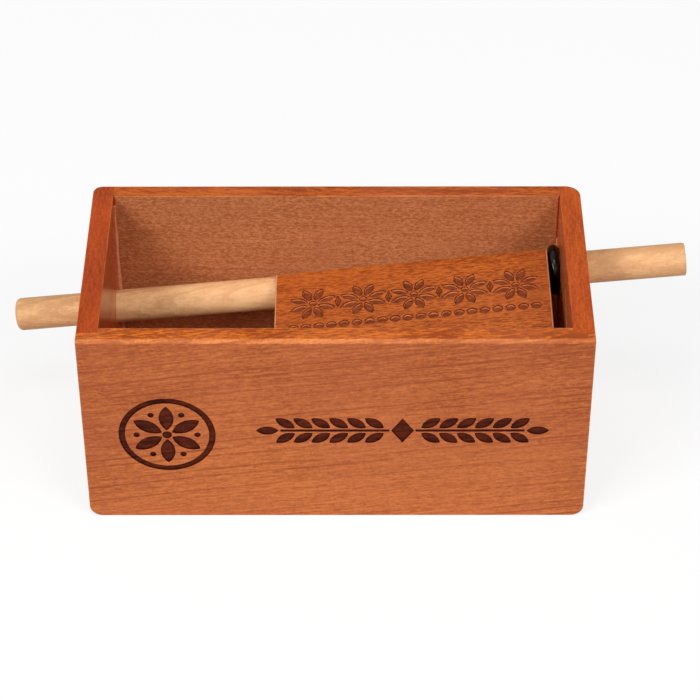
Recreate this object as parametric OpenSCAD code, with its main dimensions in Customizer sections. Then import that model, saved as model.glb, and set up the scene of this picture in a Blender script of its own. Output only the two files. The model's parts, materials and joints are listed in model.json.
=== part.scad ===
// Push-pull friction bird call: an open wooden box with a round stick through both ends.
// The stick carries a wooden striker that is dragged over an upright sounding rail.
// Origin at the middle of the box's underside, +X to the right, +Y to the back, +Z up.

/* [Box] */
// Outside length of the box
box_l = 118; // [100:1:150]
// Outside width of the box, front to back
box_w = 58; // [52:1:80]
// Outside height of the box
box_h = 55; // [52:1:70]
// Thickness of the front board
front_t = 4.7; // [3.5:0.1:6]
// Thickness of the back board
back_t = 4; // [3:0.1:6]
// Thickness of the two end boards
end_t = 5; // [4.5:0.1:7]
// Thickness of the bottom board
bottom_t = 4.5; // [3:0.1:7]
// Depth of the rabbets in the front board that take the end boards
rabbet_d = 1.7; // [0.8:0.1:2.5]
// Radius of the rounded bottom edges at both ends
foot_r = 3; // [1:0.1:4]
// Radius of the rounded upright corner at the back, left end
corner_left_r = 2.3; // [1:0.1:4]
// Radius of the rounded upright corner at the back, right end
corner_right_r = 3.6; // [1:0.1:4]

/* [Push rod] */
// Diameter of the stick
rod_d = 8; // [7:0.1:9]
// Length of the stick
rod_l = 164.2; // [150:0.2:200]
// Slope of the stick in degrees, its right end is the higher one
rod_pitch = 6.1; // [4:0.1:7]
// Distance from the outside of the back board to the stick's axis
rod_back = 12.8; // [12:0.1:15]
// Height of the stick's axis at the middle of the box
rod_high = 33.5; // [31:0.5:36]
// Length of stick that stands out of the right end board at rest
rod_out = 25.6; // [25.2:0.1:30]
// Radius of the worn edge at the stick's left end
rod_worn_r = 1.3; // [0.5:0.1:1.6]
// Chamfer at the stick's right end
rod_chamfer = 0.5; // [0.2:0.1:1]
// Radial running clearance of the stick in the end boards
bore_gap = 0.08; // [0.03:0.01:0.1]
// Travel of the stick to the left, until its right end is nearly flush with the box
push_travel = 25; // [15:0.5:25]

/* [Striker] */
// Length of the striker along the stick
striker_l = 66.2; // [55:0.2:70]
// Width of the striker, front to back
striker_w = 33.8; // [30:0.2:36]
// Thickness of the striker at its left end
striker_t = 12.5; // [11:0.1:14]
// Wood over the stick at the striker's left end
striker_cover = 1; // [0.6:0.1:1.6]
// Extra thickness at the striker's right end, where the top face is higher
striker_rise = 1.1; // [0:0.1:1.6]
// Distance from the stick's axis back to the striker's rear face
striker_lap = 0.8; // [0.2:0.1:2]
// Glue line between the stick and the striker's cove
glue_gap = 0.05; // [0.02:0.01:0.1]

/* [Bumper ring] */
// Width of the rubber ring along the stick, pressed between the striker and the end board
ring_w = 1.7; // [1.2:0.1:1.9]
// Height of the rubber ring over the stick
ring_h = 2.15; // [2:0.05:2.6]
// Gap between the ring and the stick
ring_bore_gap = 0.05; // [0.02:0.01:0.08]
// Gap between the ring and the striker's end
ring_side_gap = 0.06; // [0.02:0.01:0.2]
// Least gap between the ring and the right end board at rest
ring_rest_gap = 0.15; // [0.1:0.01:0.5]

/* [Sounding rail] */
// Thickness of the rail
rail_t = 4; // [3:0.1:6]
// Distance from the outside of the front board to the middle of the rail
rail_front = 20; // [16:0.5:26]
// Depth of the groove in the bottom board that holds the rail
rail_groove = 1.5; // [1:0.1:2.2]
// Radius of the rail's arched top edge
rail_arch_r = 300; // [200:10:500]
// Gap between the striker's underside and the crown of the rail
rub_gap = 0.15; // [0.05:0.01:0.3]
// Gap between the rail and each end board
rail_end_gap = 1; // [0.2:0.1:3]

/* [Hidden] */
$fn = 96;

// Overrun of every cut past the wood that it goes through
over = 1;

// Inside of the box
front_y = -box_w / 2;
back_y = box_w / 2;
inner_x = box_l / 2 - end_t;
inner_front_y = front_y + front_t;
inner_back_y = back_y - back_t;

// The stick's axis
rod_r = rod_d / 2;
rod_y = back_y - rod_back;
rod_right = box_l / 2 / cos(rod_pitch) + rod_out;
rod_left = rod_right - rod_l;

// Places along the stick, counted from the middle of the box
ring_r = ring_w / 2;
ring_low_r = rod_r + ring_bore_gap + ring_r;
ring_crown_r = rod_r + ring_bore_gap + ring_h - ring_r;
ring_at = (inner_x - ring_rest_gap - ring_r - ring_crown_r * sin(rod_pitch)) / cos(rod_pitch);
striker_right = ring_at - ring_r - ring_side_gap;
striker_left = striker_right - striker_l;

// Heights over the stick's axis
striker_top_left = rod_r + striker_cover;
striker_top_right = striker_top_left + striker_rise;
striker_under = striker_top_left - striker_t;

// The rail's crown lies under the striker over the whole travel
rail_y = front_y + rail_front;
rail_crown = (striker_left + striker_right - push_travel) / 2;
rail_crown_z = striker_under - rub_gap;

// Colours
wood = [0.72, 0.40, 0.22];
wood_red = [0.68, 0.33, 0.17];
wood_top = [0.72, 0.36, 0.16];
maple = [0.88, 0.69, 0.48];
cedar = [0.62, 0.42, 0.27];
rubber = [0.06, 0.05, 0.05];

// Puts its children in the stick's own frame: X along the stick, Z square to it and upward
module on_rod() {
    translate([0, rod_y, rod_high]) rotate([0, -rod_pitch, 0]) children();
}

// Round bar along X from one place to another
module bar(r, from, to) {
    translate([from, 0, 0]) rotate([0, 90, 0]) cylinder(r = r, h = to - from);
}

// Waste outside a rounded bottom edge that runs front to back, at the right (1) or left (-1) end
module foot_waste(side) {
    translate([side * (box_l / 2 - foot_r), 0, foot_r])
        difference() {
            translate([side > 0 ? 0 : -foot_r - over, front_y - over, -foot_r - over])
                cube([foot_r + over, box_w + 2 * over, foot_r + over]);
            translate([0, front_y - 2 * over, 0])
                rotate([-90, 0, 0]) cylinder(r = foot_r, h = box_w + 4 * over);
        }
}

// Waste outside a rounded upright corner at the back, at the right (1) or left (-1) end
module corner_waste(side) {
    corner_r = side > 0 ? corner_right_r : corner_left_r;
    translate([side * (box_l / 2 - corner_r), back_y - corner_r, 0])
        difference() {
            translate([side > 0 ? 0 : -corner_r - over, 0, -over])
                cube([corner_r + over, corner_r + over, box_h + 2 * over]);
            translate([0, 0, -2 * over]) cylinder(r = corner_r, h = box_h + 4 * over);
        }
}

// Front wall: full length, with a rabbet at each end on its inner side
module front_board() {
    color(wood)
        difference() {
            translate([-box_l / 2, front_y, 0]) cube([box_l, front_t, box_h]);
            for (side = [-1, 1]) {
                translate([side > 0 ? inner_x : -box_l / 2 - over, inner_front_y - rabbet_d, -over])
                    cube([end_t + over, rabbet_d + over, box_h + 2 * over]);
                foot_waste(side);
            }
        }
}

// Back wall: butted between the end boards
module back_board() {
    color(wood)
        translate([-inner_x, inner_back_y, 0]) cube([2 * inner_x, back_t, box_h]);
}

// End wall at the right (1) or left (-1), bored at the stick's slope
module end_board(side) {
    color(wood_red)
        difference() {
            translate([side > 0 ? inner_x : -box_l / 2, inner_front_y - rabbet_d, 0])
                cube([end_t, box_w - front_t + rabbet_d, box_h]);
            foot_waste(side);
            corner_waste(side);
            on_rod() bar(rod_r + bore_gap, side > 0 ? 0 : -box_l, side > 0 ? box_l : 0);
        }
}

module left_end_board() {
    end_board(-1);
}

module right_end_board() {
    end_board(1);
}

// Floor of the box, let in between the walls, with the rail's groove
module bottom_board() {
    color(wood)
        difference() {
            translate([-inner_x, inner_front_y, 0])
                cube([2 * inner_x, inner_back_y - inner_front_y, bottom_t]);
            translate([-inner_x - over, rail_y - rail_t / 2, bottom_t - rail_groove])
                cube([2 * (inner_x + over), rail_t, rail_groove + over]);
        }
}

// Upright board that the striker rubs on: its arched top edge follows the stick's slope
module sounding_rail() {
    color(cedar)
        intersection() {
            translate([rail_end_gap - inner_x, rail_y - rail_t / 2, bottom_t - rail_groove])
                cube([2 * (inner_x - rail_end_gap), rail_t, box_h]);
            on_rod()
                translate([rail_crown, rail_y - rod_y - rail_t, rail_crown_z - rail_arch_r])
                    rotate([-90, 0, 0]) cylinder(r = rail_arch_r, h = 2 * rail_t, $fn = 360);
        }
}

// Half section of the stick, with its worn left end at the bottom and its chamfer at the top
module rod_section() {
    translate([0, rod_worn_r]) square([rod_r, rod_l - rod_worn_r - rod_chamfer]);
    square([rod_r - rod_worn_r, rod_worn_r]);
    translate([rod_r - rod_worn_r, rod_worn_r]) circle(r = rod_worn_r);
    polygon([[0, rod_l - rod_chamfer], [rod_r, rod_l - rod_chamfer], [rod_r - rod_chamfer, rod_l], [0, rod_l]]);
}

// Round stick through both end boards
module push_rod() {
    color(maple)
        on_rod() translate([rod_left, 0, 0]) rotate([0, 90, 0]) rotate_extrude() rod_section();
}

// Block glued along the stick: its cove is open at the back, its top rises to the right
module striker() {
    color(wood_top)
        on_rod()
            difference() {
                translate([0, striker_lap, 0])
                    rotate([90, 0, 0])
                        linear_extrude(height = striker_w)
                            polygon([[striker_left, striker_under], [striker_right, striker_under],
                                     [striker_right, striker_top_right], [striker_left, striker_top_left]]);
                bar(rod_r + glue_gap, striker_left - over, striker_right + over);
            }
}

// Section of the ring: flat at both sides, round over the top and next to the stick
module ring_section() {
    translate([ring_low_r, 0]) circle(r = ring_r);
    translate([ring_crown_r, 0]) circle(r = ring_r);
    translate([ring_low_r, -ring_r]) square([ring_crown_r - ring_low_r, ring_w]);
}

// Rubber ring on the stick, between the striker and the right end board
module bumper_ring() {
    color(rubber)
        on_rod() translate([ring_at, 0, 0]) rotate([0, 90, 0]) rotate_extrude() ring_section();
}

front_board();
back_board();
left_end_board();
right_end_board();
bottom_board();
sounding_rail();
push_rod();
striker();
bumper_ring();
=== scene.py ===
"""Friction bird call: an open box of stained boards, a pale stick with its striker, a rubber ring.

The sizes in the classes are in millimetres. The meshes are in metres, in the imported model's frame.
"""
import json
import logging
import math
from collections.abc import Callable, Iterable
from dataclasses import dataclass, field, replace
from enum import Enum, IntEnum
from typing import TypeVar

import bmesh
import bpy
from mathutils import Color, Matrix, Vector


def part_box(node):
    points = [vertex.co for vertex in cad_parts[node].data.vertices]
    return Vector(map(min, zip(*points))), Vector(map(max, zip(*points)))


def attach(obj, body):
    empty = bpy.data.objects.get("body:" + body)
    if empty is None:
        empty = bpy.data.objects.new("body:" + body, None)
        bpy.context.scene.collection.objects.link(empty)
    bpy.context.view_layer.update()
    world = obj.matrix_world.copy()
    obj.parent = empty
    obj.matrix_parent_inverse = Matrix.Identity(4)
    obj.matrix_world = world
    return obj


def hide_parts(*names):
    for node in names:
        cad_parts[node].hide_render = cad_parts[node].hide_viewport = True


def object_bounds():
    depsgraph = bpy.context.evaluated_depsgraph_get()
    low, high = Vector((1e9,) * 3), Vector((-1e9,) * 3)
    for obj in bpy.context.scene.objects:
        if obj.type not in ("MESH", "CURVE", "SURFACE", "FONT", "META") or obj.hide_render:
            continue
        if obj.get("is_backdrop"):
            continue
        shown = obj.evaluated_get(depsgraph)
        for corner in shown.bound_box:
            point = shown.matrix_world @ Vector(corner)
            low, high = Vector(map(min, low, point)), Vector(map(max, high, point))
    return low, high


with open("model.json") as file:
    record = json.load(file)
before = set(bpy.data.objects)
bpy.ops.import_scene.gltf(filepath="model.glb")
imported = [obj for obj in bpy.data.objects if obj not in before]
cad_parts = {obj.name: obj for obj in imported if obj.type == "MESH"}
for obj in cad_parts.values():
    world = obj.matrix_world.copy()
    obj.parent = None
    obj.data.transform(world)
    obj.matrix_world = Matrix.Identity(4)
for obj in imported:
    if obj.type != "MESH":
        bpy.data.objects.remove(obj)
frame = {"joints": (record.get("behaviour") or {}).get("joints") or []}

CAD_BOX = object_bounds()

# A millimetre in metres
MM = 0.001
# Places that are nearer than this are the same
CLOSE = 0.02
# How far a tool runs past the piece that it cuts
OVER = 1.0
# Least part of a face's normal that counts as looking one way
FACING = 0.9
# Value of a noise where it is neither high nor low
NOISE_MIDDLE = 0.5
# The place that lets the faces of a rounding take their neighbours' material
AS_NEXT = -1
IDENTITY = Matrix.Identity(4)

log = logging.getLogger("bird_call")

Colour = tuple[float, float, float, float]
Pair = tuple[float, float]
Triple = tuple[float, float, float]
Test = Callable[[Vector, Vector], bool]
Material = bpy.types.Material
Node = bpy.types.Node
Piece = bpy.types.Object
Socket = bpy.types.NodeSocket
Thing = TypeVar("Thing")


class Side(IntEnum):
    """An end of the box, as the sign of its X."""

    LEFT = -1
    RIGHT = 1

    @property
    def word(self) -> str:
        """The end's name in small letters."""
        return self.name.lower()

    def of(self, pair: tuple[Thing, Thing]) -> Thing:
        """Gives the first of a pair at the left end and the second at the right end."""
        left, right = pair
        return right if self is Side.RIGHT else left


class Body(Enum):
    """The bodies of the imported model."""

    BOX = "box"
    RING = "bumper"
    STRIKER = "striker"


class Joining(Enum):
    """The ways in which a tool's shape works on a piece."""

    CUT = "DIFFERENCE"
    KEEP = "INTERSECT"


class Slot(IntEnum):
    """The places of a board's materials. Not every board has the last two."""

    WOOD = 0
    ARRIS = 1
    RIM = 2
    SEAM = 3
    TOP = 4
    INSIDE = 5


def srgb(red: int, green: int, blue: int) -> Colour:
    """Turns a picture's red, green and blue, 0 to 255, into the linear colour that a shader takes."""
    return (*Color((red / 255, green / 255, blue / 255)).from_srgb_to_scene_linear(), 1.0)


def close(value: float, target: float) -> bool:
    """Says whether two lengths in millimetres are the same place."""
    return abs(value - target) < CLOSE


def on(**planes: float) -> Test:
    """Makes a test for edges whose ends lie on planes, such as z=55, in millimetres."""
    return lambda *ends: all(
        close(getattr(end, axis), value) for end in ends for axis, value in planes.items())


def node_box(node: str) -> tuple[Vector, Vector]:
    """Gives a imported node's lowest and highest corner in millimetres."""
    low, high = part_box(node)
    return low / MM, high / MM


def pick(*pieces: Piece) -> None:
    """Selects pieces alone.

    Args:
        pieces: the pieces, of which the first becomes the active one, or none.
    """
    bpy.ops.object.select_all(action="DESELECT")
    for piece in pieces:
        piece.select_set(True)
    bpy.context.view_layer.objects.active = pieces[0] if pieces else None


def settle(piece: Piece, matrix: Matrix = IDENTITY) -> Piece:
    """Moves a piece by a matrix and puts its place into its mesh.

    Args:
        piece: the piece, anywhere.
        matrix: where it goes, in metres.

    Returns:
        The same piece, with its object at the origin.
    """
    piece.matrix_world = matrix @ piece.matrix_world
    pick(piece)
    bpy.ops.object.transform_apply(location=True, rotation=True, scale=True)
    return piece


def new_piece(name: str) -> Piece:
    """Names the primitive that was just added and puts its place into its mesh.

    Args:
        name: its name, also for its mesh.

    Returns:
        The piece.
    """
    piece = bpy.context.active_object
    piece.name = name
    piece.data.name = name
    bpy.ops.object.transform_apply(location=True, rotation=True, scale=True)
    return piece


def block(name: str, low: Iterable[float], high: Iterable[float]) -> Piece:
    """Adds a square block between two corners.

    Args:
        name: the piece's name.
        low: its lowest corner in millimetres.
        high: its highest corner in millimetres.

    Returns:
        The block.
    """
    pick()
    size = [b - a for a, b in zip(low, high)]
    middle = [(a + b) / 2 * MM for a, b in zip(low, high)]
    bpy.ops.mesh.primitive_cube_add(size=MM, location=middle, scale=size)
    return new_piece(name)


def cylinder(name: str, sides: int, radius: float, height: float, middle: Iterable[float],
             turn: Triple = (0, 0, 0)) -> Piece:
    """Adds a cylinder, which stands along Z before it is turned.

    Args:
        name: the piece's name.
        sides: how many sides it has.
        radius: its radius in millimetres.
        height: its height in millimetres.
        middle: its middle in millimetres.
        turn: its angles about the three axes in radians.

    Returns:
        The cylinder.
    """
    pick()
    bpy.ops.mesh.primitive_cylinder_add(
        vertices=sides, radius=radius * MM, depth=height * MM, location=Vector(middle) * MM, rotation=turn)
    return new_piece(name)


def bar(name: str, radius: float, start: float, end: float, sides: int = 96) -> Piece:
    """Adds a round bar along X, from one place to another, in millimetres."""
    middle = ((start + end) / 2, 0, 0)
    return cylinder(name, sides, radius, end - start, middle, (0, math.pi / 2, 0))


def copy_of(piece: Piece, matrix: Matrix = IDENTITY) -> Piece:
    """Copies a piece with a mesh of its own.

    Args:
        piece: the piece.
        matrix: how the copy is moved, in metres.

    Returns:
        The copy.
    """
    twin = piece.copy()
    twin.data = piece.data.copy()
    bpy.context.scene.collection.objects.link(twin)
    return settle(twin, matrix)


def moved(x: float, y: float = 0.0, z: float = 0.0) -> Matrix:
    """Makes the matrix of a move in millimetres."""
    return Matrix.Translation((x * MM, y * MM, z * MM))


def joined(pieces: list[Piece]) -> Piece:
    """Joins pieces into one.

    Args:
        pieces: the pieces, of which only the first is left.

    Returns:
        The first piece with all their meshes.
    """
    pick(*pieces)
    if len(pieces) > 1:
        bpy.ops.object.join()
    return pieces[0]


def work(piece: Piece, tool: Piece, joining: Joining = Joining.CUT) -> Piece:
    """Cuts a piece with a tool's shape, or keeps what both hold, and deletes the tool.

    Args:
        piece: the piece that is worked.
        tool: a closed shape, whose materials go with the faces that it leaves.
        joining: what the tool does.

    Returns:
        The same piece.
    """
    pick(piece)
    step = piece.modifiers.new("tool", "BOOLEAN")
    step.operation = joining.value
    step.object = tool
    step.solver = "EXACT"
    step.material_mode = "TRANSFER"
    bpy.ops.object.modifier_apply(modifier=step.name)
    bpy.data.objects.remove(tool)
    return piece


def dress(piece: Piece, *materials: Material) -> None:
    """Gives a piece its material slots, all faces taking the first one.

    Args:
        piece: the piece.
        materials: the materials in the order of their slots.
    """
    piece.data.materials.clear()
    for material in materials:
        piece.data.materials.append(material)


def paint(piece: Piece, slot: Slot, way: Triple) -> None:
    """Gives a material to a piece's faces that look one way.

    Args:
        piece: the piece.
        slot: the material's place.
        way: the direction that the faces look.
    """
    for face in piece.data.polygons:
        if face.normal.dot(way) > FACING:
            face.material_index = slot


def finished(piece: Piece, body: Body, slot: str, *nodes: str, angle: float = 30.0) -> Piece:
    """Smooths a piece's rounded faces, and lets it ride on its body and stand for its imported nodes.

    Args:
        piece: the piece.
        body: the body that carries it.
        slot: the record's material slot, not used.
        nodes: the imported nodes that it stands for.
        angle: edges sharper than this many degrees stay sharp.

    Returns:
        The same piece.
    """
    pick(piece)
    bpy.ops.object.shade_smooth_by_angle(angle=math.radians(angle))
    step = piece.modifiers.new("flats", "WEIGHTED_NORMAL")
    step.keep_sharp = True
    step.weight = 100
    bpy.ops.object.modifier_apply(modifier=step.name)
    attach(piece, body.value)
    if nodes:
        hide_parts(*nodes)
    return piece


class Bench:
    """Edit mode on one piece, with its faces and edges selected by their places in millimetres."""

    def __init__(self, piece: Piece) -> None:
        """Takes the piece that is to be shaped."""
        self.piece = piece

    def __enter__(self) -> "Bench":
        """Opens edit mode with nothing selected.

        Returns:
            The bench itself.
        """
        pick(self.piece)
        bpy.ops.object.mode_set(mode="EDIT")
        bpy.ops.mesh.select_all(action="DESELECT")
        return self

    def __exit__(self, *_: object) -> None:
        """Goes back to object mode."""
        bpy.ops.object.mode_set(mode="OBJECT")

    def faces(self, test: Test) -> None:
        """Selects the faces that pass a test, and nothing else.

        Args:
            test: takes a face's middle in millimetres and its normal.
        """
        bpy.ops.mesh.select_mode(type="FACE")
        bpy.ops.mesh.select_all(action="DESELECT")
        mesh = bmesh.from_edit_mesh(self.piece.data)
        for face in mesh.faces:
            face.select_set(test(face.calc_center_median() / MM, face.normal))
        bmesh.update_edit_mesh(self.piece.data)

    def edges(self, test: Test, sharp: float = 40.0) -> None:
        """Selects the sharp edges that pass a test, and nothing else.

        Args:
            test: takes an edge's two ends in millimetres.
            sharp: least angle in degrees between an edge's faces.
        """
        bpy.ops.mesh.select_mode(type="EDGE")
        bpy.ops.mesh.select_all(action="DESELECT")
        mesh = bmesh.from_edit_mesh(self.piece.data)
        least = math.radians(sharp)
        for edge in mesh.edges:
            first, second = (end.co / MM for end in edge.verts)
            edge.select_set(edge.calc_face_angle(0) >= least and test(first, second))
        bmesh.update_edit_mesh(self.piece.data)

    def extrude(self, move: Triple) -> None:
        """Draws the selected faces out by a distance in millimetres."""
        bpy.ops.mesh.extrude_region_move(TRANSFORM_OT_translate={"value": Vector(move) * MM})

    def shift(self, move: Triple) -> None:
        """Moves what is selected by a distance in millimetres."""
        bpy.ops.transform.translate(value=Vector(move) * MM)

    def bisect(self, point: Triple, normal: Triple) -> None:
        """Cuts the whole piece's faces along a plane.

        Args:
            point: a point of the plane in millimetres.
            normal: the plane's normal.
        """
        bpy.ops.mesh.select_all(action="SELECT")
        bpy.ops.mesh.bisect(plane_co=Vector(point) * MM, plane_no=normal)
        bpy.ops.mesh.select_all(action="DESELECT")


def ease(piece: Piece, test: Test, radius: float, steps: int, slot: int = AS_NEXT) -> None:
    """Rounds sharp edges of a piece.

    Args:
        piece: the piece.
        test: takes an edge's two ends in millimetres and says whether it is rounded.
        radius: the rounding's radius in millimetres.
        steps: how many faces it takes.
        slot: the place of the new faces' material.
    """
    with Bench(piece) as bench:
        bench.edges(test)
        bpy.ops.mesh.bevel(offset=radius * MM, segments=steps, profile=0.5, affect="EDGES", material=slot)


class Graph:
    """Adds nodes to one node tree and links them."""

    def __init__(self, tree: bpy.types.NodeTree) -> None:
        """Takes the tree that is to be filled."""
        self.tree = tree

    def wire(self, node: Node, inputs: dict) -> Node:
        """Links sockets to a node's inputs, or sets values there.

        Args:
            node: the node.
            inputs: the sockets and values, by the input's name or number.

        Returns:
            The node.
        """
        for key, value in inputs.items():
            if isinstance(value, Socket):
                self.tree.links.new(value, node.inputs[key])
            else:
                node.inputs[key].default_value = value
        return node

    def add(self, kind: str, inputs: dict | None = None, **settings: object) -> Node:
        """Adds a node.

        Args:
            kind: the node's type.
            inputs: sockets to link, or values to set, by the input's name or number.
            settings: the node's own properties.

        Returns:
            The node.
        """
        node = self.tree.nodes.new(kind)
        for key, value in settings.items():
            setattr(node, key, value)
        return self.wire(node, inputs or {})

    def math(self, operation: str, *values: object) -> Socket:
        """Adds a Math node and gives its result."""
        return self.add("ShaderNodeMath", dict(enumerate(values)), operation=operation).outputs[0]

    def scaled(self, vector: Socket, scale: Triple) -> Socket:
        """Multiplies a vector by three numbers."""
        node = self.add("ShaderNodeVectorMath", {0: vector, 1: scale}, operation="MULTIPLY")
        return node.outputs[0]

    def grained(self, axes: list[Socket], run: Socket, across: float) -> Socket:
        """Scales a place by a socket's value along the grain, and by a number across it.

        Args:
            axes: the place's X, Y and Z in millimetres.
            run: patches in each millimetre along X.
            across: patches in each millimetre along Y and Z.

        Returns:
            The scaled place.
        """
        parts = [self.math("MULTIPLY", axis, rate) for axis, rate in zip(axes, (run, across, across))]
        return self.add("ShaderNodeCombineXYZ", dict(enumerate(parts))).outputs[0]

    def noise(self, vector: Socket, scale: Triple | None = None, detail: float = 2.0,
              roughness: float = 0.5, zoom: object = 1.0) -> Socket:
        """Adds noise whose patches are stretched.

        Args:
            vector: the place in millimetres.
            scale: patches in each millimetre along the three axes, or None if it is scaled already.
            detail: how many finer layers it has.
            roughness: how strong the finer layers are.
            zoom: a number or a socket that multiplies the scale.

        Returns:
            The noise, about 0.5.
        """
        return self.add("ShaderNodeTexNoise", {
            "Vector": self.scaled(vector, scale) if scale else vector, "Scale": zoom, "Detail": detail,
            "Roughness": roughness}).outputs["Fac"]

    def span(self, value: Socket, low: float, high: float, to_low: float = 0.0,
             to_high: float = 1.0) -> Socket:
        """Maps a span of values smoothly onto another and clamps it."""
        values = {"Value": value, "From Min": low, "From Max": high, "To Min": to_low, "To Max": to_high}
        return self.add("ShaderNodeMapRange", values, interpolation_type="SMOOTHSTEP").outputs[0]

    def mix(self, share: Socket, first: object, second: object) -> Socket:
        """Mixes two colours by the second one's share."""
        return self.add("ShaderNodeMix", {0: share, 6: first, 7: second}, data_type="RGBA").outputs[2]


class Skin(Graph):
    """A new material's graph, with its shader and the place on the piece in millimetres."""

    def __init__(self, name: str) -> None:
        """Makes the material.

        Args:
            name: the material's name.
        """
        self.material = bpy.data.materials.new(name)
        self.material.use_nodes = True
        super().__init__(self.material.node_tree)
        self.shader = self.tree.nodes["Principled BSDF"]
        self.where = self.scaled(self.add("ShaderNodeTexCoord").outputs["Object"], (1 / MM,) * 3)

    def bump(self, height: Socket, strength: float, relief: float) -> Socket:
        """Adds the normal of a surface whose relief is given in millimetres."""
        node = self.add("ShaderNodeBump", {"Height": height, "Strength": strength, "Distance": relief * MM})
        return node.outputs[0]


class Effects:
    """The shared shader node groups, each built once.

    Triples are patches in each millimetre along the grain, across it and in depth, apart from the
    scratches' turn in radians. A pair is the span of values that is stretched over 0 to 1.
    """

    LONG_WAVE = (0.012, 0.03, 0.03)
    SHORT_WAVE = (0.07, 0.22, 0.22)
    SHORT_WAVE_SHARE = 0.25
    LATE_WOOD_POWER = 7.0
    DASHES = (0.04, 0.2, 0.3)
    DASH_SPAN = (0.36, 0.62)
    STREAKS = (0.035, 0.4, 1.5)
    STREAK_SPAN = (0.32, 0.68)
    FIBRES_ACROSS = 2.4
    GRIT = (1.2, 1.6, 1.6)
    PORES_ACROSS = 2.5
    PORE_RUN_SHARE = 2.0
    PORE_SPAN = (0.08, 0.45)
    PORE_RELIEF = -0.5
    LINE_RELIEF = -0.3
    CLOUDS = (0.02, 0.05, 0.05)
    SMUDGES = (0.05, 0.07, 0.06)
    SMUDGE_SPAN = (0.3, 0.7)
    SCRATCHES = (0.12, 5.0, 5.0)
    SCRATCH_TURN = (0.2, 0.35, 0.6)
    SCRATCH_SPAN = (0.58, 0.75)

    def __init__(self) -> None:
        """Builds all groups."""
        self.figure = self.wood_figure()
        self.handling = self.rubbed_surface()

    @staticmethod
    def group(name: str, inputs: dict[str, float], outputs: Iterable[str]) -> tuple:
        """Makes an empty group with its sockets.

        Args:
            name: the group's name.
            inputs: the usual values of its inputs by their names, apart from the Place.
            outputs: the names of its outputs.

        Returns:
            The group's graph, its inputs as sockets, and its output node.
        """
        graph = Graph(bpy.data.node_groups.new(name, "ShaderNodeTree"))
        new_socket = graph.tree.interface.new_socket
        new_socket("Place", in_out="INPUT", socket_type="NodeSocketVector")
        for label, value in inputs.items():
            new_socket(label, in_out="INPUT", socket_type="NodeSocketFloat").default_value = value
        for label in outputs:
            new_socket(label, in_out="OUTPUT", socket_type="NodeSocketFloat")
        return graph, graph.add("NodeGroupInput").outputs, graph.add("NodeGroupOutput")

    def wood_figure(self) -> bpy.types.NodeTree:
        """Builds solid wood: growth lines and streaks across Z, fibres along X, flecks, grit, clouds.

        Returns:
            The group. Its Place is in millimetres with the grain along X.
        """
        inputs = {"Line Pitch": 2.4, "Wander": 2.0, "Grain Run": 0.24, "Fleck Share": 0.5,
                  "Cloud Scale": 1.0}
        outputs = ("Lines", "Streaks", "Fibres", "Grit", "Flecks", "Clouds", "Height")
        graph, given, result = self.group("wood_figure", inputs, outputs)
        place = given["Place"]
        run = given["Grain Run"]
        long_wave = graph.math("SUBTRACT", graph.noise(place, self.LONG_WAVE), NOISE_MIDDLE)
        short_wave = graph.math("SUBTRACT", graph.noise(place, self.SHORT_WAVE), NOISE_MIDDLE)
        sway = graph.math("MULTIPLY_ADD", short_wave, self.SHORT_WAVE_SHARE, long_wave)
        axes = graph.add("ShaderNodeSeparateXYZ", {0: place}).outputs
        depth = graph.math("MULTIPLY_ADD", sway, given["Wander"], axes["Z"])
        apart = [axes["X"], axes["Y"], depth]
        swayed = graph.add("ShaderNodeCombineXYZ", dict(enumerate(apart))).outputs[0]
        year = graph.math("DIVIDE", depth, given["Line Pitch"])
        season = graph.math("POWER", graph.math("FRACT", year), self.LATE_WOOD_POWER)
        number = {"W": graph.math("FLOOR", year)}
        vigour = graph.add("ShaderNodeTexWhiteNoise", number, noise_dimensions="1D").outputs["Value"]
        dashes = graph.span(graph.noise(swayed, self.DASHES), *self.DASH_SPAN)
        lines = graph.math("MULTIPLY", graph.math("MULTIPLY", season, vigour), dashes)
        streaks = graph.span(graph.noise(swayed, self.STREAKS, roughness=0.55), *self.STREAK_SPAN)
        fibres = graph.noise(graph.grained(apart, run, self.FIBRES_ACROSS), roughness=0.55)
        grit = graph.noise(place, self.GRIT, roughness=0.7)
        pore_run = graph.math("MULTIPLY", run, self.PORE_RUN_SHARE)
        pores = graph.grained(apart, pore_run, self.PORES_ACROSS)
        cells = graph.add("ShaderNodeTexVoronoi", {"Vector": pores, "Scale": 1.0, "Randomness": 1.0}).outputs
        rarity = graph.add("ShaderNodeSeparateColor", {0: cells["Color"]}).outputs[0]
        chosen = graph.math("LESS_THAN", rarity, given["Fleck Share"])
        core = graph.span(cells["Distance"], *self.PORE_SPAN, to_low=1.0, to_high=0.0)
        flecks = graph.math("MULTIPLY", core, chosen)
        clouds = graph.noise(place, self.CLOUDS, zoom=given["Cloud Scale"])
        relief = graph.math("MULTIPLY_ADD", flecks, self.PORE_RELIEF, fibres)
        height = graph.math("MULTIPLY_ADD", lines, self.LINE_RELIEF, relief)
        graph.wire(result, dict(zip(outputs, (lines, streaks, fibres, grit, flecks, clouds, height))))
        return graph.tree

    def rubbed_surface(self) -> bpy.types.NodeTree:
        """Builds the traces of sanding and of hands: soft smudges and fine scratches.

        Returns:
            The group. Its Place is in millimetres.
        """
        graph, given, result = self.group("rubbed_surface", {}, ("Smudge", "Scratch"))
        place = given["Place"]
        turned = graph.add("ShaderNodeMapping", {"Vector": place, "Rotation": self.SCRATCH_TURN}).outputs[0]
        graph.wire(result, {
            "Smudge": graph.span(graph.noise(place, self.SMUDGES, detail=3.0), *self.SMUDGE_SPAN),
            "Scratch": graph.span(graph.noise(turned, self.SCRATCHES), *self.SCRATCH_SPAN)})
        return graph.tree


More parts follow.
